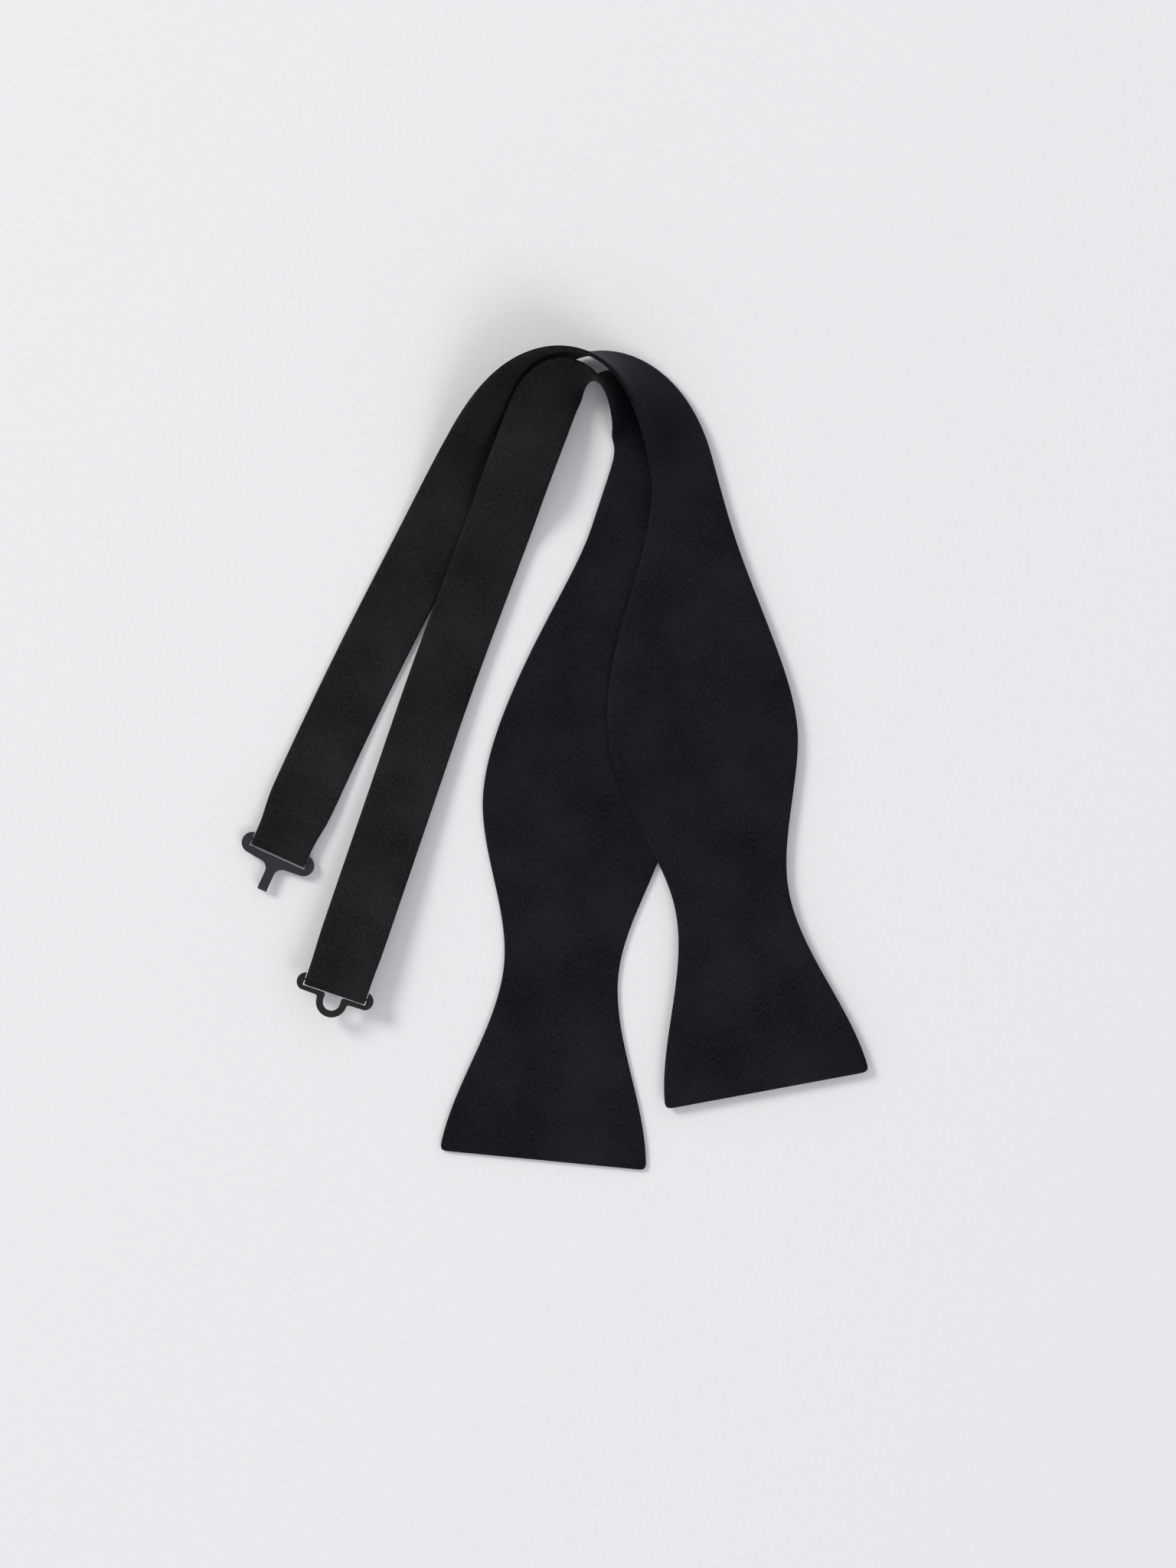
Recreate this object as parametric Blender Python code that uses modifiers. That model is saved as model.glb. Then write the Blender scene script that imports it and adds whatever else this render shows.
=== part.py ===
"""Self-tie bow tie, opened out and folded over: two separate halves and their clasp plates.

Axes: +Y runs from the loose ends up to the fold-over, +X to the right seen from above,
+Z up from the table. The cloth sizes below are millimetres and are scaled to metres at the end.
"""
import math

import bmesh
import bpy
from mathutils import Matrix, Vector

for old in list(bpy.data.objects):
    bpy.data.objects.remove(old, do_unlink=True)

MM = 0.001

# ---- Cloth make-up -------------------------------------------------------------------------
FABRIC = 0.35            # one satin panel
CANVAS = 0.50            # interlining inside a blade
STRAP_CANVAS = 0.30      # interlining inside a strap
PLY_GAP = 0.20           # running gap between panel and interlining in a blade
STRAP_PLY_GAP = 0.15     # the same in a strap
SEAM_GAP = 0.40          # between the front and back panels along their seam
JOIN_GAP = 0.30          # between strap and blade where they are sewn together
NEST_GAP = 0.40          # between the two halves where one lies on the other
STACK = 2 * FABRIC + 2 * PLY_GAP + CANVAS
STRAP_STACK = 2 * FABRIC + 2 * STRAP_PLY_GAP + STRAP_CANVAS
NEST = STACK + NEST_GAP

# ---- Blade outline: half-widths at distances from the square end -----------------------------
BLADE_LENGTH = 328.0     # square end to neck seam
END_HALF = 36.2
END_TAPER = -0.062       # how fast the half-width changes right at the square end
THROAT_AT = 66.9
THROAT_HALF = 20.1
BELLY_AT = 126.7
BELLY_HALF = 33.1
NECK_AT = 221.5
BAND_HALF = 11.5         # half-width of the neck band and straps
SEAM_ALLOWANCE = 2.6     # the interlining stops this far inside the seam
EDGE_ROLL = SEAM_ALLOWANCE   # a panel rolls down to its seam over the same width
SEAM_LINE = 1.3          # the edge thread runs this far inside the seam
SEAM_THREAD = 0.10       # thread radius
STITCH_THREAD = 0.12

# ---- Strap end, folded round the clasp bar ---------------------------------------------------
BAR_HALF = 0.40          # half the bar's depth and thickness
BAR_GAP = 0.25           # bar to cloth, flat to flat
FOLD_RADIUS = BAR_HALF + BAR_GAP + STRAP_STACK / 2
FOLD_OUTER = FOLD_RADIUS + STRAP_STACK / 2
FOLD_BACK = 16.0         # length of the turned-back leg
FOLD_TAPER = 10.0        # the two legs close up over this length
LEG_GAP = 0.30           # between the strap and its turned-back leg
STITCH_PITCH = 4.5
THREAD_GAP = 0.05        # thread to the cloth it lies on
END_CLEARANCE = 0.30     # the lower strap's folded end to the table

# ---- Clasp plates --------------------------------------------------------------------------
PLATE_THICK = 2 * BAR_HALF
PLATE_BEVEL = 0.12
SLOT_SIDE_GAP = 0.35     # strap edge to slot end
EAR_REAR = 2.5           # the ears reach this far behind the bar's axis
HOOK_EAR = 3.75          # ear radius
HOOK_EAR_WALL = 3.05     # plate left beyond the slot end
HOOK_STRIP = 3.0         # plate left in front of the slot
EYE_EAR = 3.2
EYE_EAR_WALL = 2.5
EYE_STRIP = 1.78
TONGUE_HALF = 1.7
TONGUE_LENGTH = 9.2
TONGUE_FILLET = 3.0
HOOK_RADIUS = 1.0
HOOK_TURN = 125.0
LOOP_INNER = 3.0
LOOP_STRIP = 2.4
LOOP_REACH = 2.65        # loop centre in front of the folded strap edge
LOOP_FILLET = 0.9

# ---- How each half lies ----------------------------------------------------------------------
# start: plan position of the strap's folded end; heading: degrees from +X at that end.
# bends: (place along the half, length, degrees) of each turn in plan.
# twist: (place, length) of the half turn that takes the band from back up to front up.
# over: (height, place, length before, length after) of the rise where one half crosses the other.
# end_rise: (height, length) by which the loose strap end stands off the table.
HOOK_HALF = {
    "name": "hook_half",
    "strap": 160.0,
    "start": (-97.0, -34.9),
    "heading": 65.7,
    "bends": ((62.0, 119.1, -3.0), (203.7, 94.8, -64.7), (231.3, 153.8, -85.6), (354.1, 90.0, 8.1)),
    "twist": (209.5, 214.5),
    "over": (0.0, 200.0, 50.0, 50.0),
    "end_rise": (2 * FOLD_RADIUS + STRAP_STACK / 2 + END_CLEARANCE - STACK / 2, 60.0),
    "end_half": 0.883 * BAND_HALF,
    "outer": True,
}
EYE_HALF = {
    "name": "eye_half",
    "strap": 199.6,
    "start": (-76.8, -83.1),
    "heading": 71.3,
    "bends": ((116.9, 70.0, -1.9), (232.9, 3.791 * BAND_HALF, -109.5),
              (270.1, 3.722 * BAND_HALF, -68.1), (338.9, 90.4, 12.7)),
    "twist": (240.9, 6.817 * BAND_HALF),
    "over": (0.44 * BAND_HALF + 0.6 * STACK, 196.4, 31.1, 53.3),
    "end_rise": (6.0, 130.0),
    "end_half": 0.965 * BAND_HALF,
    "outer": False,
}
NARROWING = 20.0         # the strap draws in to the slot over this length

# ---- Faceting of the laid cloth ----------------------------------------------------------------
PATH_STEP = 0.5
TURN_PER_ROW = 149.5 / BAND_HALF   # degrees: a wider band needs closer rows to stay smooth
PITCH_WEIGHT = 3.0       # a rise or dip counts this much more than a turn
ROW_MIN = 19.55 / BAND_HALF
ROW_MAX = 14.0

SATIN_FACE = (0.0098, 0.0096, 0.0130, 1.0)
SATIN_BACK = (0.0120, 0.0120, 0.0132, 1.0)
CANVAS_COLOUR = (0.42, 0.40, 0.36, 1.0)
THREAD_COLOUR = (0.0080, 0.0080, 0.0090, 1.0)
HOOK_METAL = (0.0450, 0.0460, 0.0560, 1.0)
EYE_METAL = (0.0260, 0.0235, 0.0220, 1.0)

tie = bpy.data.collections.new("bow_tie")
bpy.context.scene.collection.children.link(tie)


def finish(name, colour, roughness, metallic):
    """A plain Principled material."""
    mat = bpy.data.materials.new(name)
    mat.use_nodes = True
    shader = mat.node_tree.nodes["Principled BSDF"]
    shader.inputs["Base Color"].default_value = colour
    shader.inputs["Roughness"].default_value = roughness
    shader.inputs["Metallic"].default_value = metallic
    mat.diffuse_color = colour
    return mat


def ease(x):
    """Smooth step from 0 to 1 with no kink in curvature at its ends."""
    x = min(max(x, 0.0), 1.0)
    return x ** 3 * (x * (6 * x - 15) + 10)


def swell(x):
    """Smooth bump, 1 at x = 0 and 0 beyond x = 1."""
    x = min(abs(x), 1.0)
    return (1 - x * x) ** 3


def hermite(x, x0, y0, x1, y1, slope=0.0):
    """Cubic from (x0, y0) to (x1, y1), with a slope at its start and level at its end."""
    t = min(max((x - x0) / (x1 - x0), 0.0), 1.0)
    fall = 2 * t ** 3 - 3 * t ** 2 + 1
    return y0 * fall + y1 * (1 - fall) + slope * (x1 - x0) * (t ** 3 - 2 * t ** 2 + t)


def outline_half(from_end):
    """Half-width of blade and band at a distance from the square end."""
    if from_end < THROAT_AT:
        return hermite(from_end, 0.0, END_HALF, THROAT_AT, THROAT_HALF, END_TAPER)
    if from_end < BELLY_AT:
        return hermite(from_end, THROAT_AT, THROAT_HALF, BELLY_AT, BELLY_HALF)
    return hermite(from_end, BELLY_AT, BELLY_HALF, NECK_AT, BAND_HALF)


def total_length(half):
    return half["strap"] + BLADE_LENGTH


def half_width(half, s):
    """Half-width at a place along a half, counted from the folded strap end."""
    wide = outline_half(total_length(half) - s)
    drawn_in = (1 - ease((s - FOLD_BACK * 0.25) / NARROWING)) * (BAND_HALF - half["end_half"])
    return wide - drawn_in


def heading(half, s):
    turn = sum(angle * ease((s - at) / length + 0.5) for at, length, angle in half["bends"])
    return half["heading"] + turn


def roll(half, s):
    """Tilt about the band's own length: 0 lies back up, 90 stands on edge, 180 lies front up."""
    at, length = half["twist"]
    return 180.0 * ease((s - at) / length + 0.5)


def height(half, s):
    tilt = math.radians(roll(half, s))
    side = -1 if half["outer"] else 1
    rest = NEST * (1 + side * math.cos(tilt)) / 2 + STACK / 2
    rise, at, before, after = half["over"]
    crossing = rise * swell((s - at) / (before if s < at else after))
    end, length = half["end_rise"]
    loose = end * max(1 - max(s, 0.0) / length, 0.0) ** 1.5
    return rest + outline_half(total_length(half) - s) * math.sin(tilt) + crossing + loose


def slope(half, s):
    return min(max((height(half, s + 0.25) - height(half, s - 0.25)) / 0.5, -0.95), 0.95)


def lay_out(half):
    """Frames every PATH_STEP along a half: place, direction, width direction, face normal."""
    frames = []
    x, y = half["start"]
    last = None
    count = int(round(total_length(half) / PATH_STEP))
    for k in range(count + 1):
        s = k * PATH_STEP
        climb = slope(half, s)
        level = math.sqrt(1 - climb * climb)
        turn = math.radians(heading(half, s))
        tilt = math.radians(roll(half, s))
        plan = Vector((math.cos(turn), math.sin(turn), 0.0))
        across = Vector((-plan.y, plan.x, 0.0))
        up = Vector((0, 0, level)) - plan * climb
        step = plan * level
        if last is not None:
            x += (last.x + step.x) / 2 * PATH_STEP
            y += (last.y + step.y) / 2 * PATH_STEP
        last = step
        width = across * math.cos(tilt) + up * math.sin(tilt)
        face = across * math.sin(tilt) - up * math.cos(tilt)
        along = plan * level + Vector((0, 0, climb))
        frames.append((Vector((x, y, height(half, s))), along, width, face))
    return frames


def frame_at(half, s):
    frames = half["frames"]
    last = len(frames) - 1
    if s <= 0:
        spot, along, width, face = frames[0]
        return spot + along * s, along, width, face
    k = min(int(s / PATH_STEP), last - 1)
    t = min(s / PATH_STEP - k, 1.0)
    mixed = [a.lerp(b, t) for a, b in zip(frames[k], frames[k + 1])]
    return mixed[0], mixed[1].normalized(), mixed[2].normalized(), mixed[3].normalized()


def place(half, s, v, h):
    """A pattern point: s along, v across towards the fold-over's top edge, h towards the front."""
    spot, along, width, face = frame_at(half, s)
    return spot + width * v + face * h


def row_list(half, s0, s1, extra=()):
    """Places of the cross rows between s0 and s1, closer together where the cloth turns."""
    rows = [s0]
    while rows[-1] < s1:
        s = rows[-1]
        turning = abs(heading(half, s + 2) - heading(half, s - 2)) / 4
        turning += abs(roll(half, s + 2) - roll(half, s - 2)) / 4
        turning += math.degrees(abs(slope(half, s + 2) - slope(half, s - 2))) / 4 * PITCH_WEIGHT
        rows.append(s + min(max(TURN_PER_ROW / max(turning, 0.01), ROW_MIN), ROW_MAX))
    scale = (s1 - s0) / (rows[-1] - s0)
    rows = [s0 + (s - s0) * scale for s in rows]
    clear = [s for s in rows if all(abs(s - e) > 1.0 for e in extra)]
    return sorted(clear + list(extra))


def add_object(name, mesh, mat):
    obj = bpy.data.objects.new(name, mesh)
    obj.data.materials.append(mat)
    tie.objects.link(obj)
    return obj


def soft_solid(name, rows, cols, ring, spot, mat):
    """Cloth of real thickness: a ruled grid, thickened, then laid point by point.

    spot(i, j, outer) gives the place of row i, column j on the outer or inner skin.
    """
    grid = bmesh.new()
    bmesh.ops.create_grid(grid, x_segments=rows - 1, y_segments=cols - 1, size=1.0)
    bmesh.ops.triangulate(grid, faces=grid.faces[:], quad_method="FIXED")
    for vert in grid.verts:
        i = round((vert.co.x + 1) / 2 * (rows - 1))
        j = round((vert.co.y + 1) / 2 * (cols - 1))
        angle = 2 * math.pi * j / (cols - 1)
        vert.co = (i, math.cos(angle), math.sin(angle)) if ring else (i, j, 0.0)
    if ring:
        bmesh.ops.remove_doubles(grid, verts=grid.verts[:], dist=0.0001)
        bmesh.ops.recalc_face_normals(grid, faces=grid.faces[:])
        middle = grid.faces[0].calc_center_median()
        if grid.faces[0].normal.dot(Vector((0, middle.y, middle.z))) < 0:
            bmesh.ops.reverse_faces(grid, faces=grid.faces[:])
    flat = bpy.data.meshes.new(name + "_flat")
    grid.to_mesh(flat)
    grid.free()
    sheet = bpy.data.objects.new(name + "_flat", flat)
    bpy.context.scene.collection.objects.link(sheet)
    thick = sheet.modifiers.new("thickness", "SOLIDIFY")
    thick.thickness = 0.2
    thick.offset = -1.0 if ring else 0.0
    bpy.context.view_layer.update()
    solid = bpy.data.meshes.new_from_object(sheet.evaluated_get(bpy.context.evaluated_depsgraph_get()))
    bpy.data.objects.remove(sheet, do_unlink=True)
    for vert in solid.vertices:
        i = round(vert.co.x)
        if ring:
            j = round(math.atan2(vert.co.z, vert.co.y) / (2 * math.pi) * (cols - 1)) % (cols - 1)
            outer = math.hypot(vert.co.y, vert.co.z) > 0.92
        else:
            j = round(vert.co.y)
            outer = vert.co.z > 0
        vert.co = spot(i, j, outer) * MM
    return seal(add_object(name, solid, mat))


def seal(obj):
    """Close and orient a mesh, and split its faces into triangles."""
    shape = bmesh.new()
    shape.from_mesh(obj.data)
    bmesh.ops.remove_doubles(shape, verts=shape.verts[:], dist=0.000001)
    bmesh.ops.triangulate(shape, faces=shape.faces[:])
    bmesh.ops.recalc_face_normals(shape, faces=shape.faces[:])
    if shape.calc_volume(signed=True) < 0:
        bmesh.ops.reverse_faces(shape, faces=shape.faces[:])
    shape.to_mesh(obj.data)
    shape.free()
    obj.data.name = obj.name
    return obj


def thread(name, points, radius, cyclic, mat):
    """A round thread along points given in millimetres."""
    curve = bpy.data.curves.new(name, "CURVE")
    curve.dimensions = "3D"
    curve.bevel_depth = radius * MM
    curve.bevel_resolution = 0
    curve.use_fill_caps = True
    line = curve.splines.new("POLY")
    line.points.add(len(points) - 1)
    for knot, spot in zip(line.points, points):
        knot.co = (*(spot * MM), 1.0)
    line.use_cyclic_u = cyclic
    return seal(bake(name, curve, mat))


def bake(name, curve, mat):
    """Turn a curve into a mesh object."""
    source = bpy.data.objects.new(name + "_curve", curve)
    bpy.context.scene.collection.objects.link(source)
    bpy.context.view_layer.update()
    mesh = bpy.data.meshes.new_from_object(source.evaluated_get(bpy.context.evaluated_depsgraph_get()))
    mesh.materials.clear()
    bpy.data.objects.remove(source, do_unlink=True)
    return add_object(name, mesh, mat)


# ---- Blade: front and back panels, interlining, edge and neck threads ---------------------------
def blade_columns(wide, inset, middle):
    """Places across a blade: edges, then the same inner columns in every layer."""
    rim = [wide - inset, wide - inset - EDGE_ROLL] if inset == 0 else [wide - inset]
    side = rim + [middle]
    return [-v for v in side] + [0.0] + side[::-1]


def make_blade(half, front_mat, back_mat, canvas_mat, thread_mat):
    name = half["name"]
    end = total_length(half)
    join = half["strap"] + JOIN_GAP / 2
    rows = row_list(half, join, end, extra=(end - EDGE_ROLL,))
    count = len(blade_columns(1.0, 0.0, 0.45))

    def panel_spot(i, j, outer, side):
        s = rows[i]
        wide = outline_half(end - s)
        v = blade_columns(wide, 0.0, 0.45 * wide)[j]
        edge = min(wide - abs(v), end - s, EDGE_ROLL) / EDGE_ROLL
        rise = math.sqrt(1 - (1 - edge) ** 2)
        rim = SEAM_GAP / 2 + (0.25 if outer else 0.0)
        full = STACK / 2 - (0.0 if outer else FABRIC)
        return place(half, s, v, side * (rim + (full - rim) * rise))

    soft_solid(name + "_blade_front", len(rows), count, False,
               lambda i, j, outer: panel_spot(i, j, outer, 1), front_mat)
    soft_solid(name + "_blade_back", len(rows), count, False,
               lambda i, j, outer: panel_spot(i, j, outer, -1), back_mat)

    start = half["strap"] + SEAM_ALLOWANCE
    stop = end - SEAM_ALLOWANCE
    inner = [s for s in rows if start < s < stop + 0.001]
    inner_count = len(blade_columns(10.0, SEAM_ALLOWANCE, 0.45))

    def canvas_spot(i, j, outer):
        s = inner[i]
        wide = outline_half(end - s)
        v = blade_columns(wide, SEAM_ALLOWANCE, 0.45 * wide)[j]
        return place(half, s, v, CANVAS / 2 if outer else -CANVAS / 2)

    soft_solid(name + "_blade_canvas", len(inner), inner_count, False, canvas_spot, canvas_mat)

    left = [place(half, s, outline_half(end - s) - SEAM_LINE, 0.0) for s in inner]
    right = [place(half, s, SEAM_LINE - outline_half(end - s), 0.0) for s in inner]
    across = END_HALF - 2 * SEAM_LINE
    foot = [place(half, end - SEAM_LINE, across * t, 0.0) for t in (1.0, 0.5, 0.0, -0.5, -1.0)]
    thread(name + "_edge_seam_thread", left + foot + right[::-1], SEAM_THREAD, False, thread_mat)

    reach = BAND_HALF - SEAM_ALLOWANCE
    neck = [place(half, half["strap"], reach * t, 0.0) for t in (-1.0, -0.5, 0.0, 0.5, 1.0)]
    thread(name + "_neck_seam_thread", neck, SEAM_THREAD, False, thread_mat)


# ---- Strap: a flattened tube that wraps the clasp bar and turns back under itself ---------------
def leg_spacing(x):
    """Distance from the strap to its turned-back leg, x beyond the bar."""
    close = STRAP_STACK + LEG_GAP
    return close + (2 * FOLD_RADIUS - close) * (1 - ease(x / FOLD_TAPER))


def strap_stations(half):
    """Stations from the neck end, round the fold, to the end of the turned-back leg."""
    run = row_list(half, FOLD_OUTER, half["strap"] - JOIN_GAP / 2)[::-1]
    stations = [("run", s) for s in run]
    stations += [("bend", math.pi * k / 6) for k in range(1, 6)]
    stations += [("leg", FOLD_BACK * t) for t in (0.0, 0.2, 0.4, 0.65, 1.0)]
    return stations


def strap_point(half, station, v_share, inset, h):
    """A point of the strap's section at a station; v_share is -1 to 1 across."""
    kind, value = station
    s = {"run": value, "bend": FOLD_OUTER, "leg": FOLD_OUTER + value}[kind]
    v = v_share * (half_width(half, s) - inset)
    if kind == "run":
        return place(half, s, v, h)
    if kind == "bend":
        reach = FOLD_RADIUS - h
        return place(half, s - reach * math.sin(value), v, FOLD_RADIUS - reach * math.cos(value))
    return place(half, s, v, leg_spacing(value) - h)


RING = ((-1.0, 0.0), (-0.95, 1.0), (-0.45, 1.0), (0.0, 1.0), (0.45, 1.0), (0.95, 1.0),
        (1.0, 0.0), (0.95, -1.0), (0.45, -1.0), (0.0, -1.0), (-0.45, -1.0), (-0.95, -1.0))


def make_strap(half, cloth, canvas_mat, thread_mat):
    name = half["name"]
    stations = strap_stations(half)

    def tube_spot(i, j, outer):
        share, side = RING[j]
        depth = STRAP_STACK / 2 - (0.0 if outer else FABRIC)
        return strap_point(half, stations[i], share, 0.0 if outer else 2 * FABRIC, side * depth)

    soft_solid(name + "_strap", len(stations), len(RING) + 1, True, tube_spot, cloth)

    inner = stations[1:-1] + [("leg", FOLD_BACK - SEAM_LINE)]
    shares = (-1.0, -0.45, 0.0, 0.45, 1.0)

    def canvas_spot(i, j, outer):
        h = STRAP_CANVAS / 2 if outer else -STRAP_CANVAS / 2
        return strap_point(half, inner[i], shares[j], SEAM_ALLOWANCE * 0.6, h)

    soft_solid(name + "_strap_canvas", len(inner), len(shares), False, canvas_spot, canvas_mat)

    # The fold's stitching, as one closed thread round the strap and its turned-back leg.
    at = FOLD_BACK - 2 * SEAM_LINE
    clear = STITCH_THREAD + THREAD_GAP
    top = -STRAP_STACK / 2 - clear
    bottom = leg_spacing(at) + STRAP_STACK / 2 + clear
    reach = half_width(half, FOLD_OUTER + at) + clear
    count = 2 * int(reach / STITCH_PITCH)
    row = [reach * (2 * k / count - 1) for k in range(count + 1)]
    loop = [(v, top) for v in row] + [(v, bottom) for v in row[::-1]]
    line = [place(half, FOLD_OUTER + at, v, h) for v, h in loop]
    thread(name + "_fold_stitching", line, STITCH_THREAD, True, thread_mat)


# ---- Clasp plates: flat blanks with bevelled edges, set on the bar's axis -----------------------
def arc(a, v, radius, start, stop, count=6):
    """Points of an arc in the plate's plane, angles in degrees from the outward direction."""
    return [(a + radius * math.cos(math.radians(start + (stop - start) * k / count)),
             v + radius * math.sin(math.radians(start + (stop - start) * k / count)))
            for k in range(count + 1)]


def mirrored(side):
    """A closed outline from its +v side."""
    return side + [(a, -v) for a, v in side[::-1]]


def ear_arc(centre, v_centre, slot_half, ear_radius, stop):
    """The ear from the bar's straight rear edge round to its front, clear of the strap's side."""
    lift = math.degrees(math.asin((slot_half - 0.05 - v_centre) / ear_radius))
    lobe = arc(centre, v_centre, ear_radius, 180 - lift, stop, 12)
    return [(-BAR_HALF, lobe[0][1])] + lobe


def plate(half, name, outer, hole, mat):
    """A stamped plate with its origin on the bar's axis and its outward end along local +X."""
    curve = bpy.data.curves.new(name, "CURVE")
    curve.dimensions = "2D"
    curve.fill_mode = "BOTH"
    curve.extrude = (PLATE_THICK / 2 - PLATE_BEVEL) * MM
    curve.bevel_depth = PLATE_BEVEL * MM
    curve.offset = -PLATE_BEVEL * MM
    curve.bevel_resolution = 0
    for ring in (outer, hole):
        line = curve.splines.new("POLY")
        line.points.add(len(ring) - 1)
        for knot, (a, v) in zip(line.points, ring):
            knot.co = (a * MM, v * MM, 0.0, 1.0)
        line.use_cyclic_u = True
    obj = bake(name, curve, mat)
    spot, along, width, face = frame_at(half, FOLD_OUTER)
    axis = spot + face * FOLD_RADIUS
    turn = Matrix((-along, width, face)).transposed().to_4x4()
    obj.matrix_world = Matrix.Translation(axis * MM) @ turn
    return obj


def bend_hook(obj, start):
    """Curl the tongue's end towards the plate's underside."""
    shape = bmesh.new()
    shape.from_mesh(obj.data)
    bmesh.ops.remove_doubles(shape, verts=shape.verts[:], dist=0.000001)
    length = HOOK_RADIUS * math.radians(HOOK_TURN)
    for k in range(6):
        cut = (start + length * k / 5) * MM
        bmesh.ops.bisect_plane(shape, geom=shape.verts[:] + shape.edges[:] + shape.faces[:],
                               dist=0.0000001, plane_co=(cut, 0, 0), plane_no=(1, 0, 0))
    for vert in shape.verts:
        past = vert.co.x / MM - start
        if past <= 0:
            continue
        angle = min(past / HOOK_RADIUS, math.radians(HOOK_TURN))
        tail = max(past - length, 0.0)
        rho = HOOK_RADIUS - vert.co.z / MM
        x = start + rho * math.sin(angle) + tail * math.cos(angle)
        z = HOOK_RADIUS - rho * math.cos(angle) + tail * math.sin(angle)
        vert.co.x = x * MM
        vert.co.z = z * MM
    shape.to_mesh(obj.data)
    shape.free()


def make_hook_plate(half, mat):
    slot_half = half["end_half"] + SLOT_SIDE_GAP
    slot_front = FOLD_OUTER + 0.55
    front = slot_front + HOOK_STRIP
    v_centre = slot_half + HOOK_EAR_WALL - HOOK_EAR
    side = ear_arc(HOOK_EAR - EAR_REAR, v_centre, slot_half, HOOK_EAR, 10.0)
    side += arc(front + TONGUE_FILLET, TONGUE_HALF + TONGUE_FILLET, TONGUE_FILLET, 180, 270)
    tip = front + TONGUE_LENGTH + HOOK_RADIUS
    side += [(tip - 0.4, TONGUE_HALF), (tip, TONGUE_HALF - 0.4)]
    hole = mirrored([(BAR_HALF, slot_half), (slot_front, slot_half)])
    obj = plate(half, "hook_plate", mirrored(side), hole, mat)
    bend_hook(obj, front + TONGUE_LENGTH - HOOK_RADIUS)
    return seal(obj)


def make_eye_plate(half, mat):
    slot_half = half["end_half"] + SLOT_SIDE_GAP
    slot_front = FOLD_OUTER + 0.12
    front = slot_front + EYE_STRIP
    loop = FOLD_OUTER + LOOP_REACH
    outside = LOOP_INNER + LOOP_STRIP
    fillet = outside + LOOP_FILLET
    v_centre = slot_half + EYE_EAR_WALL - EYE_EAR
    side = ear_arc(EYE_EAR - EAR_REAR, v_centre, slot_half, EYE_EAR, 20.0)
    side += arc(front + LOOP_FILLET, fillet, LOOP_FILLET, 180, 270, 3)
    side += arc(loop, 0.0, outside, 80, 5, 8)
    hole = [(BAR_HALF, slot_half), (slot_front, slot_half)]
    hole += arc(slot_front + LOOP_FILLET, LOOP_INNER + LOOP_FILLET, LOOP_FILLET, 180, 270, 3)
    hole += arc(loop, 0.0, LOOP_INNER, 90, 10, 7)
    return seal(plate(half, "eye_plate", mirrored(side), mirrored(hole), mat))


face_satin = finish("satin_face", SATIN_FACE, 0.55, 0.0)
back_satin = finish("satin_back", SATIN_BACK, 0.62, 0.0)
canvas = finish("interlining", CANVAS_COLOUR, 0.9, 0.0)
sewing = finish("sewing_thread", THREAD_COLOUR, 0.7, 0.0)
hook_metal = finish("hook_enamel", HOOK_METAL, 0.5, 0.6)
eye_metal = finish("eye_enamel", EYE_METAL, 0.5, 0.6)

for half in (HOOK_HALF, EYE_HALF):
    half["frames"] = lay_out(half)
    make_blade(half, face_satin, back_satin, canvas, sewing)
    make_strap(half, back_satin, canvas, sewing)
make_hook_plate(HOOK_HALF, hook_metal)
make_eye_plate(EYE_HALF, eye_metal)

# Centre the tie over the origin, with its lowest cloth on the table.
bpy.context.view_layer.update()
corners = [obj.matrix_world @ vert.co for obj in tie.objects for vert in obj.data.vertices]
low = Vector([min(c[k] for c in corners) for k in range(3)])
high = Vector([max(c[k] for c in corners) for k in range(3)])
shift = Vector((-(low.x + high.x) / 2, -(low.y + high.y) / 2, -low.z))
for obj in tie.objects:
    obj.matrix_world = Matrix.Translation(shift) @ obj.matrix_world
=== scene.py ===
# %% [markdown]
# # A self-tie bow tie, untied and laid open
# The tie is two loose halves. Each has a narrow strap that ends in a clasp plate, and a long blade
# of two satin panels sewn face to face and turned. The halves lie one inside the other, folded over
# at the neck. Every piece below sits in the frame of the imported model, in metres.

# %% Load the model
import math
import bpy
import numpy as np
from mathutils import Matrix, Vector


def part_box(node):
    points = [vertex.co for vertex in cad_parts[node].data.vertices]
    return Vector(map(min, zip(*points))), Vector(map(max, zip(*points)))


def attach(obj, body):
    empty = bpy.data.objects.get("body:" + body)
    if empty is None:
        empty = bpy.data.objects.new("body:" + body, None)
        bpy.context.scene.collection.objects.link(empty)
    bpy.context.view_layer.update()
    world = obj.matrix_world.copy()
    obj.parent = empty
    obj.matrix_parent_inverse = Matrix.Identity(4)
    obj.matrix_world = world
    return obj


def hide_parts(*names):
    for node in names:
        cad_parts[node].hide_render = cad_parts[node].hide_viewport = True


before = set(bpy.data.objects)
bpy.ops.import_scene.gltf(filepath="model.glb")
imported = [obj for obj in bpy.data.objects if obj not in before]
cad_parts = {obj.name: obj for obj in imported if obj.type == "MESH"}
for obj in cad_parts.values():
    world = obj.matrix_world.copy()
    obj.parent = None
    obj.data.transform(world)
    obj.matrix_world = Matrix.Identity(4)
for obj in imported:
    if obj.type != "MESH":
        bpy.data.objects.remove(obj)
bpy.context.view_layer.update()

MM = 0.001

# %% [markdown]
# ## The pattern
# A bow tie is cut from a flat pattern: a square end, a throat, a belly, and a narrow neck band.
# It could be drawn by eye as a curve, but a maker works from measured half-widths, so the outline
# is three smooth cubics between the widest and the narrowest places. All sizes are millimetres.

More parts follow.
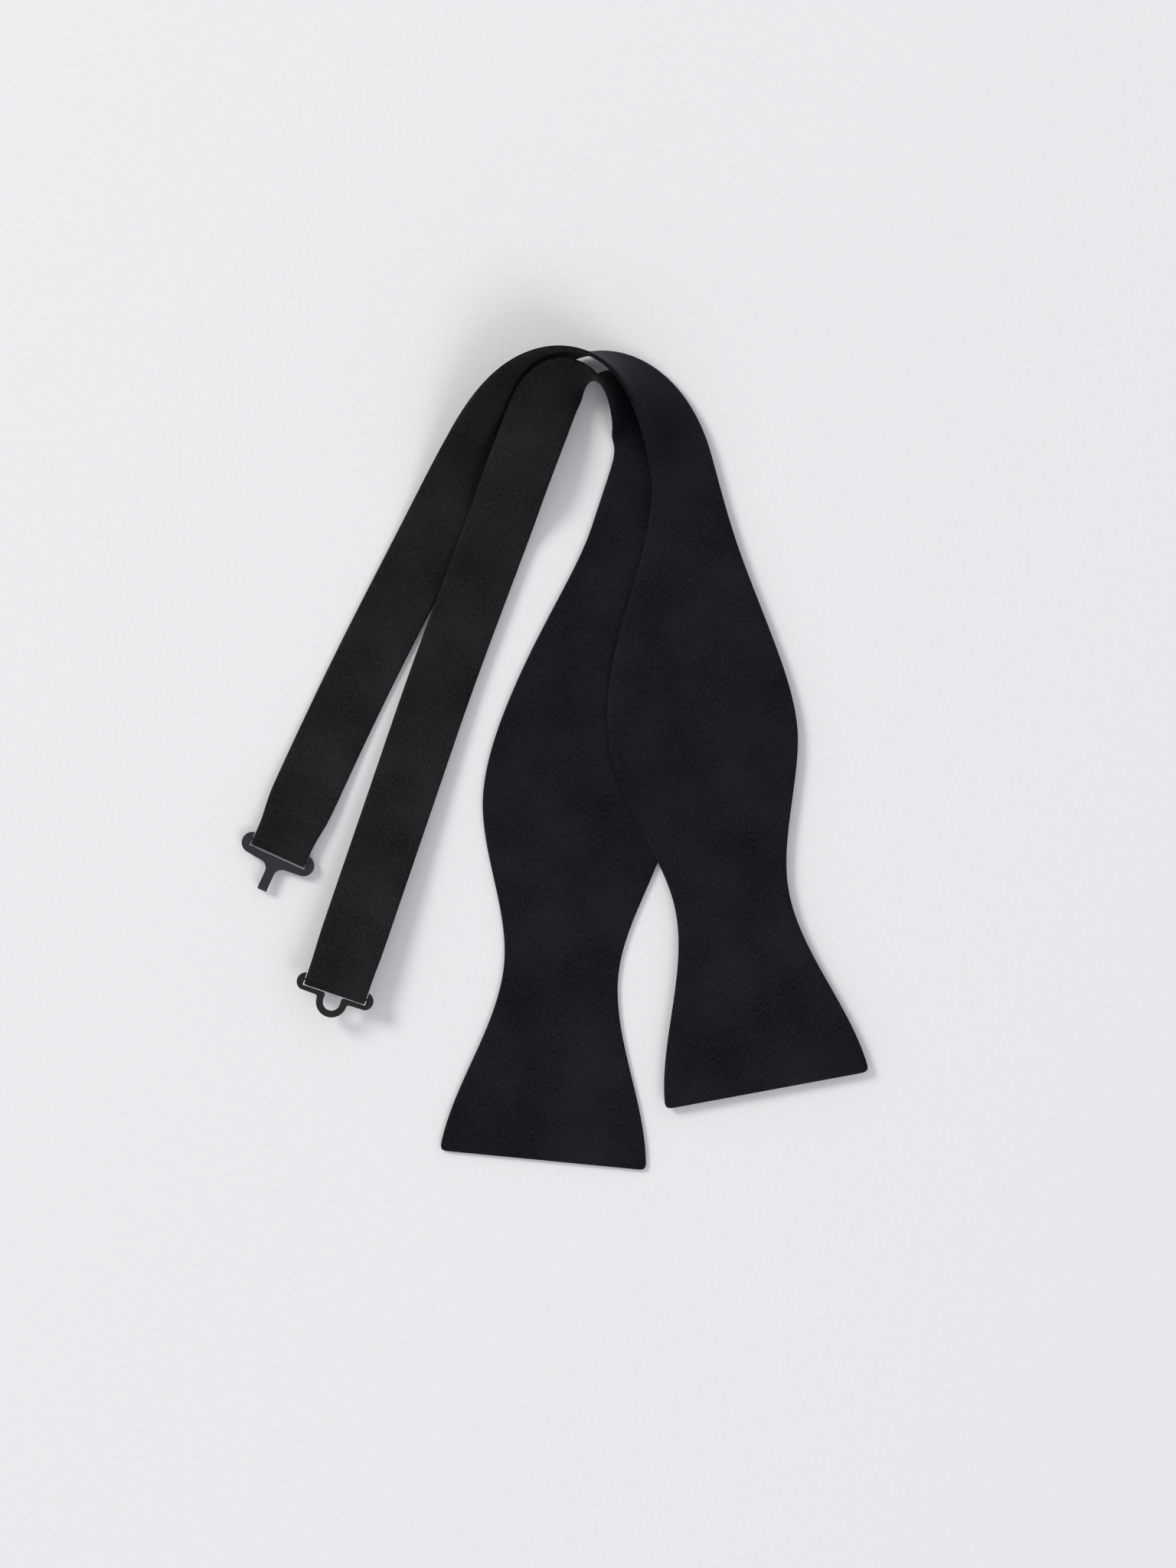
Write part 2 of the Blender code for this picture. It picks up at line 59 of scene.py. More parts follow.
# %% Pattern sizes
BLADE_LENGTH = 328.0
END_HALF, END_TAPER = 36.2, -0.062
THROAT_AT, THROAT_HALF = 66.9, 20.1
BELLY_AT, BELLY_HALF = 126.7, 33.1
NECK_AT, BAND_HALF = 221.5, 11.5
BLADE_THICK, STRAP_THICK = 1.6, 1.3
NEST = 2.0
FOLD_RADIUS, FOLD_OUTER = 1.3, 1.95
FOLD_BACK, FOLD_TAPER, LEG_GAP = 16.0, 10.0, 0.30
NARROWING = 20.0
END_CLEARANCE = 0.30
PATH_STEP = 0.5


def ease(x):
    """Smooth step from 0 to 1."""
    x = np.clip(x, 0.0, 1.0)
    return x ** 3 * (x * (6 * x - 15) + 10)


def cubic(x, x0, y0, x1, y1, slope=0.0):
    """A cubic between two places, level at its end."""
    t = np.clip((x - x0) / (x1 - x0), 0.0, 1.0)
    fall = 2 * t ** 3 - 3 * t ** 2 + 1
    return y0 * fall + y1 * (1 - fall) + slope * (x1 - x0) * (t ** 3 - 2 * t ** 2 + t)


def outline_half(from_end):
    """Half-width of blade and band at a distance from the square end."""
    foot = cubic(from_end, 0.0, END_HALF, THROAT_AT, THROAT_HALF, END_TAPER)
    belly = cubic(from_end, THROAT_AT, THROAT_HALF, BELLY_AT, BELLY_HALF)
    neck = cubic(from_end, BELLY_AT, BELLY_HALF, NECK_AT, BAND_HALF)
    return np.where(from_end < THROAT_AT, foot, np.where(from_end < BELLY_AT, belly, neck))


# %% [markdown]
# ## How each half lies
# The strap leaves its clasp, the band rolls from back up, through standing on its edge at the fold,
# to front up, and the blade runs out flat. A cloth simulation would find a shape like this, but not
# this one, so the path is written down: where it starts, each turn in plan, and where it rolls over.

# %% The two halves
HOOK_HALF = {
    "name": "hook_half", "strap": 160.0, "start": (-97.0, -34.9), "heading": 65.7,
    "bends": ((62.0, 119.1, -3.0), (203.7, 94.8, -64.7), (231.3, 153.8, -85.6), (354.1, 90.0, 8.1)),
    "twist": (209.5, 214.5), "over": (0.0, 200.0, 50.0, 50.0),
    "end_rise": (2 * FOLD_RADIUS + STRAP_THICK / 2 + END_CLEARANCE - BLADE_THICK / 2, 60.0),
    "end_half": 0.883 * BAND_HALF, "outer": True,
}
EYE_HALF = {
    "name": "eye_half", "strap": 199.6, "start": (-76.8, -83.1), "heading": 71.3,
    "bends": ((116.9, 70.0, -1.9), (232.9, 3.791 * BAND_HALF, -109.5),
              (270.1, 3.722 * BAND_HALF, -68.1), (338.9, 90.4, 12.7)),
    "twist": (240.9, 6.817 * BAND_HALF),
    "over": (0.44 * BAND_HALF + 0.6 * BLADE_THICK, 196.4, 31.1, 53.3),
    "end_rise": (6.0, 130.0), "end_half": 0.965 * BAND_HALF, "outer": False,
}

# %% [markdown]
# ## Frames along the path
# At every half millimetre the path keeps four vectors: the place, the direction along, the
# direction across and the normal of the front face. Any pattern point can then be laid in space.

# %% Lay the halves


def heading(half, s):
    turns = [angle * ease((s - at) / length + 0.5) for at, length, angle in half["bends"]]
    return np.radians(half["heading"] + sum(turns))


def roll(half, s):
    """0 lies back up, a quarter turn stands on edge, a half turn lies front up."""
    at, length = half["twist"]
    return math.pi * ease((s - at) / length + 0.5)


def height(half, s):
    tilt = roll(half, s)
    side = -1 if half["outer"] else 1
    rest = NEST * (1 + side * np.cos(tilt)) / 2 + BLADE_THICK / 2
    rise, at, before, after = half["over"]
    near = np.clip(np.abs(s - at) / np.where(s < at, before, after), 0, 1)
    crossing = rise * (1 - near * near) ** 3
    end, length = half["end_rise"]
    loose = end * np.clip(1 - np.maximum(s, 0.0) / length, 0.0, 1.0) ** 1.5
    wide = outline_half(half["strap"] + BLADE_LENGTH - s)
    return rest + wide * np.sin(tilt) + crossing + loose


def lay_out(half):
    """Places and directions at every step along one half."""
    s = np.arange(0.0, half["strap"] + BLADE_LENGTH + PATH_STEP / 2, PATH_STEP)
    climb = np.clip((height(half, s + 0.25) - height(half, s - 0.25)) / 0.5, -0.95, 0.95)
    level = np.sqrt(1 - climb ** 2)
    turn, tilt = heading(half, s), roll(half, s)
    zero = np.zeros_like(s)
    plan = np.stack([np.cos(turn), np.sin(turn), zero], -1)
    across = np.stack([-plan[:, 1], plan[:, 0], zero], -1)
    up = np.stack([zero, zero, level], -1) - plan * climb[:, None]
    step = plan[:, :2] * level[:, None]
    xy = np.vstack([[0, 0], np.cumsum((step[1:] + step[:-1]) / 2 * PATH_STEP, axis=0)])
    spot = np.column_stack([xy + half["start"], height(half, s)])
    along = plan * level[:, None] + np.stack([zero, zero, climb], -1)
    width = across * np.cos(tilt)[:, None] + up * np.sin(tilt)[:, None]
    face = across * np.sin(tilt)[:, None] - up * np.cos(tilt)[:, None]
    half["s"], half["frames"] = s, (spot, along, width, face)


def unit(vectors):
    return vectors / np.linalg.norm(vectors, axis=-1, keepdims=True)


def place(half, s, v, h):
    """Pattern points in space: s along, v across, h towards the front, all in millimetres."""
    s, v, h = np.broadcast_arrays(np.asarray(s, float), v, h)
    parts = [np.stack([np.interp(s, half["s"], part[:, k]) for k in range(3)], -1)
             for part in half["frames"]]
    spot, along, width, face = parts[0], unit(parts[1]), unit(parts[2]), unit(parts[3])
    spot = spot + along * np.minimum(s, 0.0)[..., None]
    return spot + width * v[..., None] + face * h[..., None]


for half in (HOOK_HALF, EYE_HALF):
    lay_out(half)
    half["end"] = half["strap"] + BLADE_LENGTH

corner_v = np.array([END_HALF, -END_HALF])
hook_tip = place(HOOK_HALF, HOOK_HALF["end"], corner_v, 0.0)[:, 0].max()
eye_tip = place(EYE_HALF, EYE_HALF["end"], corner_v, 0.0)[:, 1].min()
SHIFT = np.array([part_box("hook_half_blade_front")[1].x / MM - hook_tip,
                  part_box("eye_half_blade_back")[0].y / MM - eye_tip, 0.0])
print("model's centring shift, mm:", SHIFT.round(3))

# %% [markdown]
# ## Cloth made from rows and columns
# Both panels and straps are grids that follow the pattern, so the weave can follow it too: each
# vertex keeps its pattern place, in millimetres, as a UV. A subdivided cage would be lighter, but
# a seam's turned edge needs points exactly where the cloth rolls over.

# %% Grid to mesh


def cloth_mesh(name, points, pattern, finish, ring=False, flip=False):
    """A smooth mesh from a grid of points (rows, columns, 3) in millimetres."""
    rows, cols = points.shape[:2]
    verts = ((points + SHIFT) * MM).reshape(-1, 3)
    i, j = np.meshgrid(np.arange(rows - 1), np.arange(cols if ring else cols - 1), indexing="ij")
    k = (j + 1) % cols
    quads = np.stack([i * cols + j, i * cols + k, (i + 1) * cols + k, (i + 1) * cols + j], -1)
    quads = quads.reshape(-1, 4)
    uv_of = [(i, j), (i, j + 1), (i + 1, j + 1), (i + 1, j)]
    uv = np.stack([pattern[a, b] for a, b in uv_of], 2).reshape(-1, 4, 2)
    if flip:
        quads, uv = quads[:, ::-1], uv[:, ::-1]
    mesh = bpy.data.meshes.new(name)
    mesh.from_pydata(verts.tolist(), [], quads.tolist())
    layer = mesh.uv_layers.new(name="pattern")
    layer.data.foreach_set("uv", np.ascontiguousarray(uv.reshape(-1), dtype=np.float32))
    mesh.shade_smooth()
    mesh.update()
    mesh.materials.append(finish)
    obj = bpy.data.objects.new(name, mesh)
    bpy.context.scene.collection.objects.link(obj)
    return obj


# %% [markdown]
# ## Colours and nodes
# Colours are written as sRGB hex, as a dyer's card would give them, and turned to the linear
# values that shaders work in. One small function adds a node, sets it and links it.

# %% Colour and node helpers


def linear(hexcode):
    """sRGB hex to a linear colour."""
    parts = [int(hexcode[k:k + 2], 16) / 255 for k in (0, 2, 4)]
    return (*[c / 12.92 if c <= 0.04045 else ((c + 0.055) / 1.055) ** 2.4 for c in parts], 1.0)


def add_node(tree, kind, settings=None, **links):
    """One node. Settings name its properties or inputs, links give inputs their sources."""
    node = tree.nodes.new(kind)
    for key, value in (settings or {}).items():
        if hasattr(node, key):
            setattr(node, key, value)
        else:
            node.inputs[int(key) if key.isdigit() else key].default_value = value
    for key, source in links.items():
        key = key.replace("_", " ")
        target = node.inputs[int(key)] if key.isdigit() else node.inputs[key]
        tree.links.new(source, target)
    return node


def new_finish(name, shader_values):
    """A Principled material with its constant values set on the shader itself."""
    finish = bpy.data.materials.new(name)
    finish.use_nodes = True
    shader = finish.node_tree.nodes["Principled BSDF"]
    for key, value in shader_values.items():
        shader.inputs[key].default_value = value
    return finish, finish.node_tree, shader


# %% [markdown]
# ## Black satin
# The cloth is a polyester satin. A satin has long floats of warp thread on its face, four to seven
# threads long, which lie side by side and give a smooth, slightly glossy skin. Seen close it is a
# grain of fine dashes along the warp. An image of the weave could be tiled, but noise stretched
# along the pattern's length gives the same grain with no repeat. The thread spacing is about
# 0.12 mm, too fine to show, so the dashes are drawn 0.5 mm wide and 1.3 mm long.

# %% Satin
GRAIN_WIDE = 0.5
GRAIN_LONG = 1.3
MOTTLE = 24.0


def satin(name, dark, light, roughness, sheen_tint, grain_depth):
    finish, tree, shader = new_finish(name, {
        "Roughness": roughness, "IOR": 1.45, "Specular IOR Level": 0.09,
        "Sheen Weight": 0.03, "Sheen Roughness": 0.40, "Sheen Tint": linear(sheen_tint),
    })
    uv = add_node(tree, "ShaderNodeUVMap", {"uv_map": "pattern"})
    floats = add_node(tree, "ShaderNodeMapping",
                      {"Scale": (1 / GRAIN_LONG, 1 / GRAIN_WIDE, 1.0)}, Vector=uv.outputs["UV"])
    grain = add_node(tree, "ShaderNodeTexNoise",
                     {"Scale": 1.0, "Detail": 2.0, "Roughness": 0.6}, Vector=floats.outputs[0])
    mottle = add_node(tree, "ShaderNodeTexNoise",
                      {"Scale": 1 / MOTTLE, "Detail": 3.0}, Vector=uv.outputs["UV"])
    blend = add_node(tree, "ShaderNodeMath", {"operation": "MULTIPLY_ADD", "1": 0.62},
                     **{"0": grain.outputs["Fac"]})
    soft = add_node(tree, "ShaderNodeMath", {"operation": "MULTIPLY", "1": 0.38},
                    **{"0": mottle.outputs["Fac"]})
    tree.links.new(soft.outputs[0], blend.inputs[2])
    tone = add_node(tree, "ShaderNodeMapRange",
                    {"From Min": 0.32, "From Max": 0.68}, Value=blend.outputs[0])
    colour = add_node(tree, "ShaderNodeMix", {"data_type": "RGBA"})
    for socket in colour.inputs:
        if socket.type == "RGBA":
            socket.default_value = linear(dark if socket.name == "A" else light)
    tree.links.new(tone.outputs[0], colour.inputs["Factor"])
    mixed = [o for o in colour.outputs if o.type == "RGBA"][0]
    tree.links.new(mixed, shader.inputs["Base Color"])
    polish = add_node(tree, "ShaderNodeMapRange",
                      {"From Min": 0.3, "From Max": 0.7, "To Min": roughness - 0.06,
                       "To Max": roughness + 0.08}, Value=grain.outputs["Fac"])
    tree.links.new(polish.outputs[0], shader.inputs["Roughness"])
    creases = add_node(tree, "ShaderNodeTexNoise",
                       {"Scale": 1 / 9.0, "Detail": 2.0}, Vector=uv.outputs["UV"])
    wave = add_node(tree, "ShaderNodeBump", {"Strength": 0.35, "Distance": 0.25 * MM},
                    Height=creases.outputs["Fac"])
    bump = add_node(tree, "ShaderNodeBump", {"Strength": 0.5, "Distance": grain_depth * MM},
                    Height=grain.outputs["Fac"], Normal=wave.outputs[0])
    tree.links.new(bump.outputs[0], shader.inputs["Normal"])
    return finish


satin_face = satin("black_satin_warp_face", "020203", "201f27", 0.62, "c9c6e6", 0.16)
satin_back = satin("black_satin_reverse_lay", "020203", "272729", 0.66, "d2d2da", 0.22)
print("made", satin_face.name, "and", satin_back.name)

# %% [markdown]
# ## Thread, interlining and enamel
# The thread is spun polyester, so it is matt with a fine twist. The interlining is an undyed
# plain-woven canvas, hidden between the panels. The plates are stamped steel under a thin baked
# enamel, which is a dielectric: a soft gloss over a dark colour, with fine orange peel.

# %% Small finishes
TWIST = 0.5       # drawn coarser than the real 0.15 mm ply twist, so that it shows
CANVAS_YARN = 0.6
PEEL = 0.35


def speckled(name, dark, light, size, depth, values):
    """A finish whose colour and relief vary by a noise of a real size, in object space."""
    finish, tree, shader = new_finish(name, values)
    where = add_node(tree, "ShaderNodeTexCoord")
    noise = add_node(tree, "ShaderNodeTexNoise", {"Scale": 1 / (size * MM), "Detail": 3.0},
                     Vector=where.outputs["Object"])
    ramp = add_node(tree, "ShaderNodeValToRGB", {}, Fac=noise.outputs["Fac"])
    ramp.color_ramp.elements[0].position, ramp.color_ramp.elements[1].position = 0.35, 0.65
    ramp.color_ramp.elements[0].color = linear(dark)
    ramp.color_ramp.elements[1].color = linear(light)
    tree.links.new(ramp.outputs["Color"], shader.inputs["Base Color"])
    bump = add_node(tree, "ShaderNodeBump", {"Strength": 0.4, "Distance": depth * MM},
                    Height=noise.outputs["Fac"])
    tree.links.new(bump.outputs[0], shader.inputs["Normal"])
    return finish


thread = speckled("spun_polyester_thread", "111113", "1c1c20", TWIST, 0.05,
                  {"Roughness": 0.7, "IOR": 1.55, "Specular IOR Level": 0.3})
canvas = speckled("undyed_canvas", "9c968a", "b8b2a4", CANVAS_YARN, 0.10,
                  {"Roughness": 0.9, "IOR": 1.5})
hook_enamel = speckled("blue_grey_baked_enamel", "1b1c22", "272831", PEEL, 0.02,
                       {"Roughness": 0.42, "IOR": 1.5, "Specular IOR Level": 0.4})
eye_enamel = speckled("black_baked_enamel", "0b0a0a", "151312", PEEL, 0.02,
                      {"Roughness": 0.42, "IOR": 1.5, "Specular IOR Level": 0.4})

for node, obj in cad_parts.items():
    finish = canvas if "canvas" in node else thread
    if node == "hook_plate":
        finish = hook_enamel
    if node == "eye_plate":
        finish = eye_enamel
    for slot in obj.material_slots:
        slot.link = "OBJECT"
        slot.material = finish
    if not obj.material_slots:
        obj.data.materials.append(finish)

# %% [markdown]
# ## Blade panels
# Each blade is two panels sewn right sides together, turned and pressed. So its edge is not cut:
# the cloth rolls over into the seam, and for about 4.5 mm inside the edge it lies on its own seam
# allowance, a faint ridge. Each panel is one grid whose first columns draw that roll.

# %% Blade panels
# Distance inside the edge and height above the middle of the blade, for the turned edge.
TURNED_EDGE = np.array([
    (0.42, 0.02), (0.20, 0.06), (0.06, 0.16), (0.0, 0.30), (0.04, 0.44), (0.16, 0.57),
    (0.38, 0.68), (0.75, 0.76), (1.3, 0.805), (2.1, 0.825), (3.0, 0.82), (3.8, 0.80),
    (4.5, 0.765), (5.2, 0.725), (6.0, 0.70)])
NECK_EDGE = np.array([
    (0.0, 0.10), (0.06, 0.36), (0.22, 0.55), (0.5, 0.68), (0.9, 0.76), (1.5, 0.82)])
ROW_STEP = 1.2
INNER_COLUMNS = 15
CORNER = 2.6
FAR_IN = 99.0     # marks a column or row that lies beyond the turned edge


def rounded(a, b):
    """Pulls the square corner in to a small round, on distances from the inner corner."""
    p, q = np.clip(a / CORNER, 0, 1), np.clip(b / CORNER, 0, 1)
    soft_a = np.where((a > 0) & (b > 0), a * np.sqrt(1 - 0.42 * q * q), a)
    soft_b = np.where((a > 0) & (b > 0), b * np.sqrt(1 - 0.42 * p * p), b)
    return soft_a, soft_b


def panel(half, side, finish):
    """The front (side 1) or back (side -1) panel of a blade."""
    join, end = half["strap"] - 0.1, half["end"]
    first = join + NECK_EDGE[:, 0]
    last = end - TURNED_EDGE[::-1, 0]
    middle = np.linspace(first[-1], last[0], int((last[0] - first[-1]) / ROW_STEP))[1:-1]
    rows = np.concatenate([first, middle, last])
    wide = outline_half(end - rows)
    t = np.linspace(1, -1, 2 * INNER_COLUMNS + 1)[1:-1]
    inside = (wide[:, None] - TURNED_EDGE[-1, 0]) * t
    left = wide[:, None] - TURNED_EDGE[:, 0]
    v = np.hstack([left, inside, -left[:, ::-1]])
    rank = np.arange(len(TURNED_EDGE), dtype=float)
    side_rank = np.concatenate([rank, np.full(len(t), FAR_IN), rank[::-1]])
    foot_rank = np.concatenate([np.full(len(rows) - len(last), FAR_IN), rank[::-1]])
    lower = np.minimum(side_rank[None, :], foot_rank[:, None])
    h = np.interp(lower, rank, TURNED_EDGE[:, 1])
    at_neck = np.interp(rows - join, NECK_EDGE[:, 0], NECK_EDGE[:, 1] / NECK_EDGE[-1, 1])
    h = h * at_neck[:, None]
    s = np.broadcast_to(rows[:, None], v.shape)
    a, b = CORNER - (end - s), CORNER - (wide[:, None] - np.abs(v))
    soft_a, soft_b = rounded(a, b)
    s = s - (a - soft_a)
    v = np.sign(v) * (np.abs(v) - (b - soft_b))
    calm = ease((lower - 8) / 6)
    ripple = 0.05 * np.sin(s / 13.0 + 0.10 * v + 1.3 * side) + 0.04 * np.sin(s / 7.1 - v / 9.0)
    h = h + calm * ripple * np.clip(wide[:, None] / 30, 0.2, 1)
    points = place(half, s, v, side * h)
    word = "front" if side > 0 else "back"
    return cloth_mesh(f"{half['name']}_satin_{word}", points, np.stack([s, v], -1), finish,
                      flip=side < 0)


for half in (HOOK_HALF, EYE_HALF):
    for side, word, finish in ((1, "front", satin_face), (-1, "back", satin_back)):
        piece = panel(half, side, finish)
        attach(piece, half["name"])
        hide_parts(f"{half['name']}_blade_{word}")
        print(piece.name, len(piece.data.polygons), "faces")

# %% [markdown]
# ## Straps
# A strap is a flattened tube of the same satin. It runs to the clasp bar, wraps round it and turns
# back under itself, where it is stitched down. The tube is one grid of rings: along the strap,
# round the bar in a half circle, and back along the turned-under leg.

# %% Straps
STRAP_EDGE = np.array([
    (0.0, 0.0), (0.02, 0.18), (0.10, 0.35), (0.28, 0.50), (0.6, 0.595), (1.1, 0.64),
    (1.9, 0.65), (3.0, 0.645), (3.9, 0.62), (4.7, 0.585), (5.4, 0.565)])
STITCH_AT = FOLD_BACK - 2.6
DENT_WIDE = 0.9
DENTS = {"hook_half": 0.24, "eye_half": 0.05}    # how deep the stitches pull the cloth in


def half_width(half, s):
    drawn_in = (1 - ease((s - FOLD_BACK * 0.25) / NARROWING)) * (BAND_HALF - half["end_half"])
    return outline_half(half["end"] - s) - drawn_in


def leg_spacing(x):
    close = STRAP_THICK + LEG_GAP
    return close + (2 * FOLD_RADIUS - close) * (1 - ease(x / FOLD_TAPER))


def strap_ring(half, s):
    """Across and up places round a strap's section, starting at its +v edge over the front."""
    wide = half_width(half, s)
    inner = np.linspace(1, -1, 11)[1:-1] * (wide - STRAP_EDGE[-1, 0])
    edge_v, edge_h = wide - STRAP_EDGE[:, 0], STRAP_EDGE[:, 1]
    top_v = np.concatenate([edge_v, inner, -edge_v[::-1]])
    top_h = np.concatenate([edge_h, np.full(len(inner), edge_h[-1]), edge_h[::-1]])
    return (np.concatenate([top_v, top_v[::-1][1:-1]]),
            np.concatenate([top_h, -top_h[::-1][1:-1]]))


def strap(half, finish):
    neck = half["strap"]
    dent_depth = DENTS[half["name"]]
    closing = [(neck + 0.15, 0.1), (neck + 0.05, 0.45), (neck - 0.12, 0.72), (neck - 0.4, 0.88),
               (neck - 0.9, 0.97), (neck - 1.6, 1.0)]
    run = np.linspace(neck - 1.6, FOLD_OUTER, int((neck - 1.6 - FOLD_OUTER) / ROW_STEP))[1:]
    points, pattern = [], []
    for s, full in closing + [(s, 1.0) for s in run]:
        v, h = strap_ring(half, s)
        dent = dent_depth * math.exp(-((s - FOLD_OUTER - STITCH_AT) / DENT_WIDE) ** 2)
        h = h * full - np.sign(h) * dent * (np.abs(h) > 0.5)
        points.append(place(half, s, v, h))
        pattern.append(np.stack([np.full_like(v, s), v + 40.0 * (h > 0)], -1))
    for turn in np.linspace(0, math.pi, 17)[1:-1]:
        v, h = strap_ring(half, FOLD_OUTER)
        reach = FOLD_RADIUS - h
        points.append(place(half, FOLD_OUTER - reach * math.sin(turn), v,
                            FOLD_RADIUS - reach * math.cos(turn)))
        pattern.append(np.stack([np.full_like(v, FOLD_OUTER - turn), v], -1))
    leg = [(x, 1.0) for x in np.arange(0.0, FOLD_BACK - 1.0, 1.0)]
    leg += [(FOLD_BACK - back, full)
            for back, full in ((0.8, 0.97), (0.35, 0.85), (0.08, 0.55), (0.0, 0.1))]
    for x, full in leg:
        v, h = strap_ring(half, FOLD_OUTER + x)
        dent = dent_depth * math.exp(-((x - STITCH_AT) / DENT_WIDE) ** 2)
        h = h * full - np.sign(h) * dent * (np.abs(h) > 0.5)
        points.append(place(half, FOLD_OUTER + x, v, leg_spacing(x) - h))
        pattern.append(np.stack([np.full_like(v, -x - 4.0), v], -1))
    pattern = np.array(pattern)
    pattern = np.concatenate([pattern, pattern[:, :1]], axis=1)
    return cloth_mesh(f"{half['name']}_satin_strap", np.array(points), pattern, finish, ring=True)


for half in (HOOK_HALF, EYE_HALF):
    piece = strap(half, satin_back)
    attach(piece, half["name"])
    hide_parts(f"{half['name']}_strap")
    print(piece.name, len(piece.data.polygons), "faces")

# %% [markdown]
# ## Fold stitches
# The turned-back leg is held by a row of lockstitches across the strap. Each stitch is a short
# dash of thread that dives into the cloth at both ends, so the row is drawn as separate short
# curves that dip, on the top of the strap and on the underside of its leg.

# %% Fold stitches
STITCH_LONG, STITCH_GAP, STITCH_RADIUS = 2.1, 0.6, 0.11


def stitches(half):
    curve = bpy.data.curves.new(half["name"] + "_lockstitches", "CURVE")
    curve.dimensions = "3D"
    curve.bevel_depth = STITCH_RADIUS * MM
    curve.bevel_resolution = 2
    curve.use_fill_caps = True
    s = FOLD_OUTER + STITCH_AT
    reach = float(half_width(half, s)) - 1.2
    count = int(2 * reach / (STITCH_LONG + STITCH_GAP))
    pitch = 2 * reach / count
    thick = STRAP_EDGE[-1, 1] - DENTS[half["name"]]
    for face in (-thick, leg_spacing(STITCH_AT) + thick):
        lift = math.copysign(STITCH_RADIUS * 0.5, face)
        for k in range(count):
            middle = -reach + pitch * (k + 0.5)
            line = curve.splines.new("POLY")
            line.points.add(6)
            for knot, t in zip(line.points, np.linspace(-1, 1, 7)):
                dive = lift * (1 - 2.2 * abs(t) ** 4)
                spot = place(half, s, middle + t * STITCH_LONG / 2, face + dive)
                knot.co = (*((spot + SHIFT) * MM), 1.0)
    curve.materials.append(thread)
    obj = bpy.data.objects.new(half["name"] + "_lockstitches", curve)
    bpy.context.scene.collection.objects.link(obj)
    return obj


for half in (HOOK_HALF, EYE_HALF):
    piece = stitches(half)
    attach(piece, half["name"])
    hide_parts(f"{half['name']}_fold_stitching")
    print(piece.name, len(piece.data.splines), "stitches")

# %% [markdown]
# ## What lies inside
# Between the panels lies a canvas interlining, cut smaller than the satin by the seam allowance,
# and a seam thread runs just inside the edge. None of it shows on a finished tie, but the pieces
# are there, laid along the same path as the satin so that they stay inside it.

# %% Interlining and seam threads
SEAM_ALLOWANCE, SEAM_LINE, SEAM_RADIUS = 2.6, 1.3, 0.10
STRAP_INSET = 0.6 * SEAM_ALLOWANCE
CANVAS_STEP = 1.5


def blade_canvas(half):
    rows = np.arange(half["strap"] + SEAM_ALLOWANCE, half["end"] - SEAM_ALLOWANCE, CANVAS_STEP)
    reach = outline_half(half["end"] - rows) - SEAM_ALLOWANCE
    v = reach[:, None] * np.linspace(1, -1, 13)
    points = place(half, rows[:, None], v, 0.0)
    pattern = np.stack([np.broadcast_to(rows[:, None], v.shape), v], -1)
    piece = cloth_mesh(half["name"] + "_canvas", points, pattern, canvas)
    return piece, 2 * CANVAS_STEP * float(reach.sum()) * MM * MM


def strap_canvas(half):
    points, pattern, along = [], [], 0.0
    share = np.linspace(1, -1, 9)
    for s in np.arange(half["strap"] - CANVAS_STEP, FOLD_OUTER, -CANVAS_STEP):
        v = share * (half_width(half, s) - STRAP_INSET)
        points.append(place(half, s, v, 0.0))
        pattern.append(np.stack([np.full_like(v, s), v], -1))
    v = share * (half_width(half, FOLD_OUTER) - STRAP_INSET)
    for turn in np.linspace(0, math.pi, 13):
        points.append(place(half, FOLD_OUTER - FOLD_RADIUS * math.sin(turn), v,
                            FOLD_RADIUS * (1 - math.cos(turn))))
        pattern.append(np.stack([np.full_like(v, -turn), v], -1))
    for x in np.arange(1.0, FOLD_BACK - SEAM_LINE, 1.0):
        v = share * (half_width(half, FOLD_OUTER + x) - STRAP_INSET)
        points.append(place(half, FOLD_OUTER + x, v, leg_spacing(x)))
        pattern.append(np.stack([np.full_like(v, -x - 4.0), v], -1))
    return cloth_mesh(half["name"] + "_strap_canvas_strip", np.array(points), np.array(pattern),
                      canvas)


def seam_thread(name, runs):
    """One round thread along each run of points, in millimetres."""
    curve = bpy.data.curves.new(name, "CURVE")
    curve.dimensions = "3D"
    curve.bevel_depth, curve.bevel_resolution, curve.use_fill_caps = SEAM_RADIUS * MM, 1, True
    for run in runs:
        line = curve.splines.new("POLY")
        line.points.add(len(run) - 1)
        for knot, spot in zip(line.points, (run + SHIFT) * MM):
            knot.co = (*spot, 1.0)
    curve.materials.append(thread)
    obj = bpy.data.objects.new(name, curve)
    bpy.context.scene.collection.objects.link(obj)
    return obj


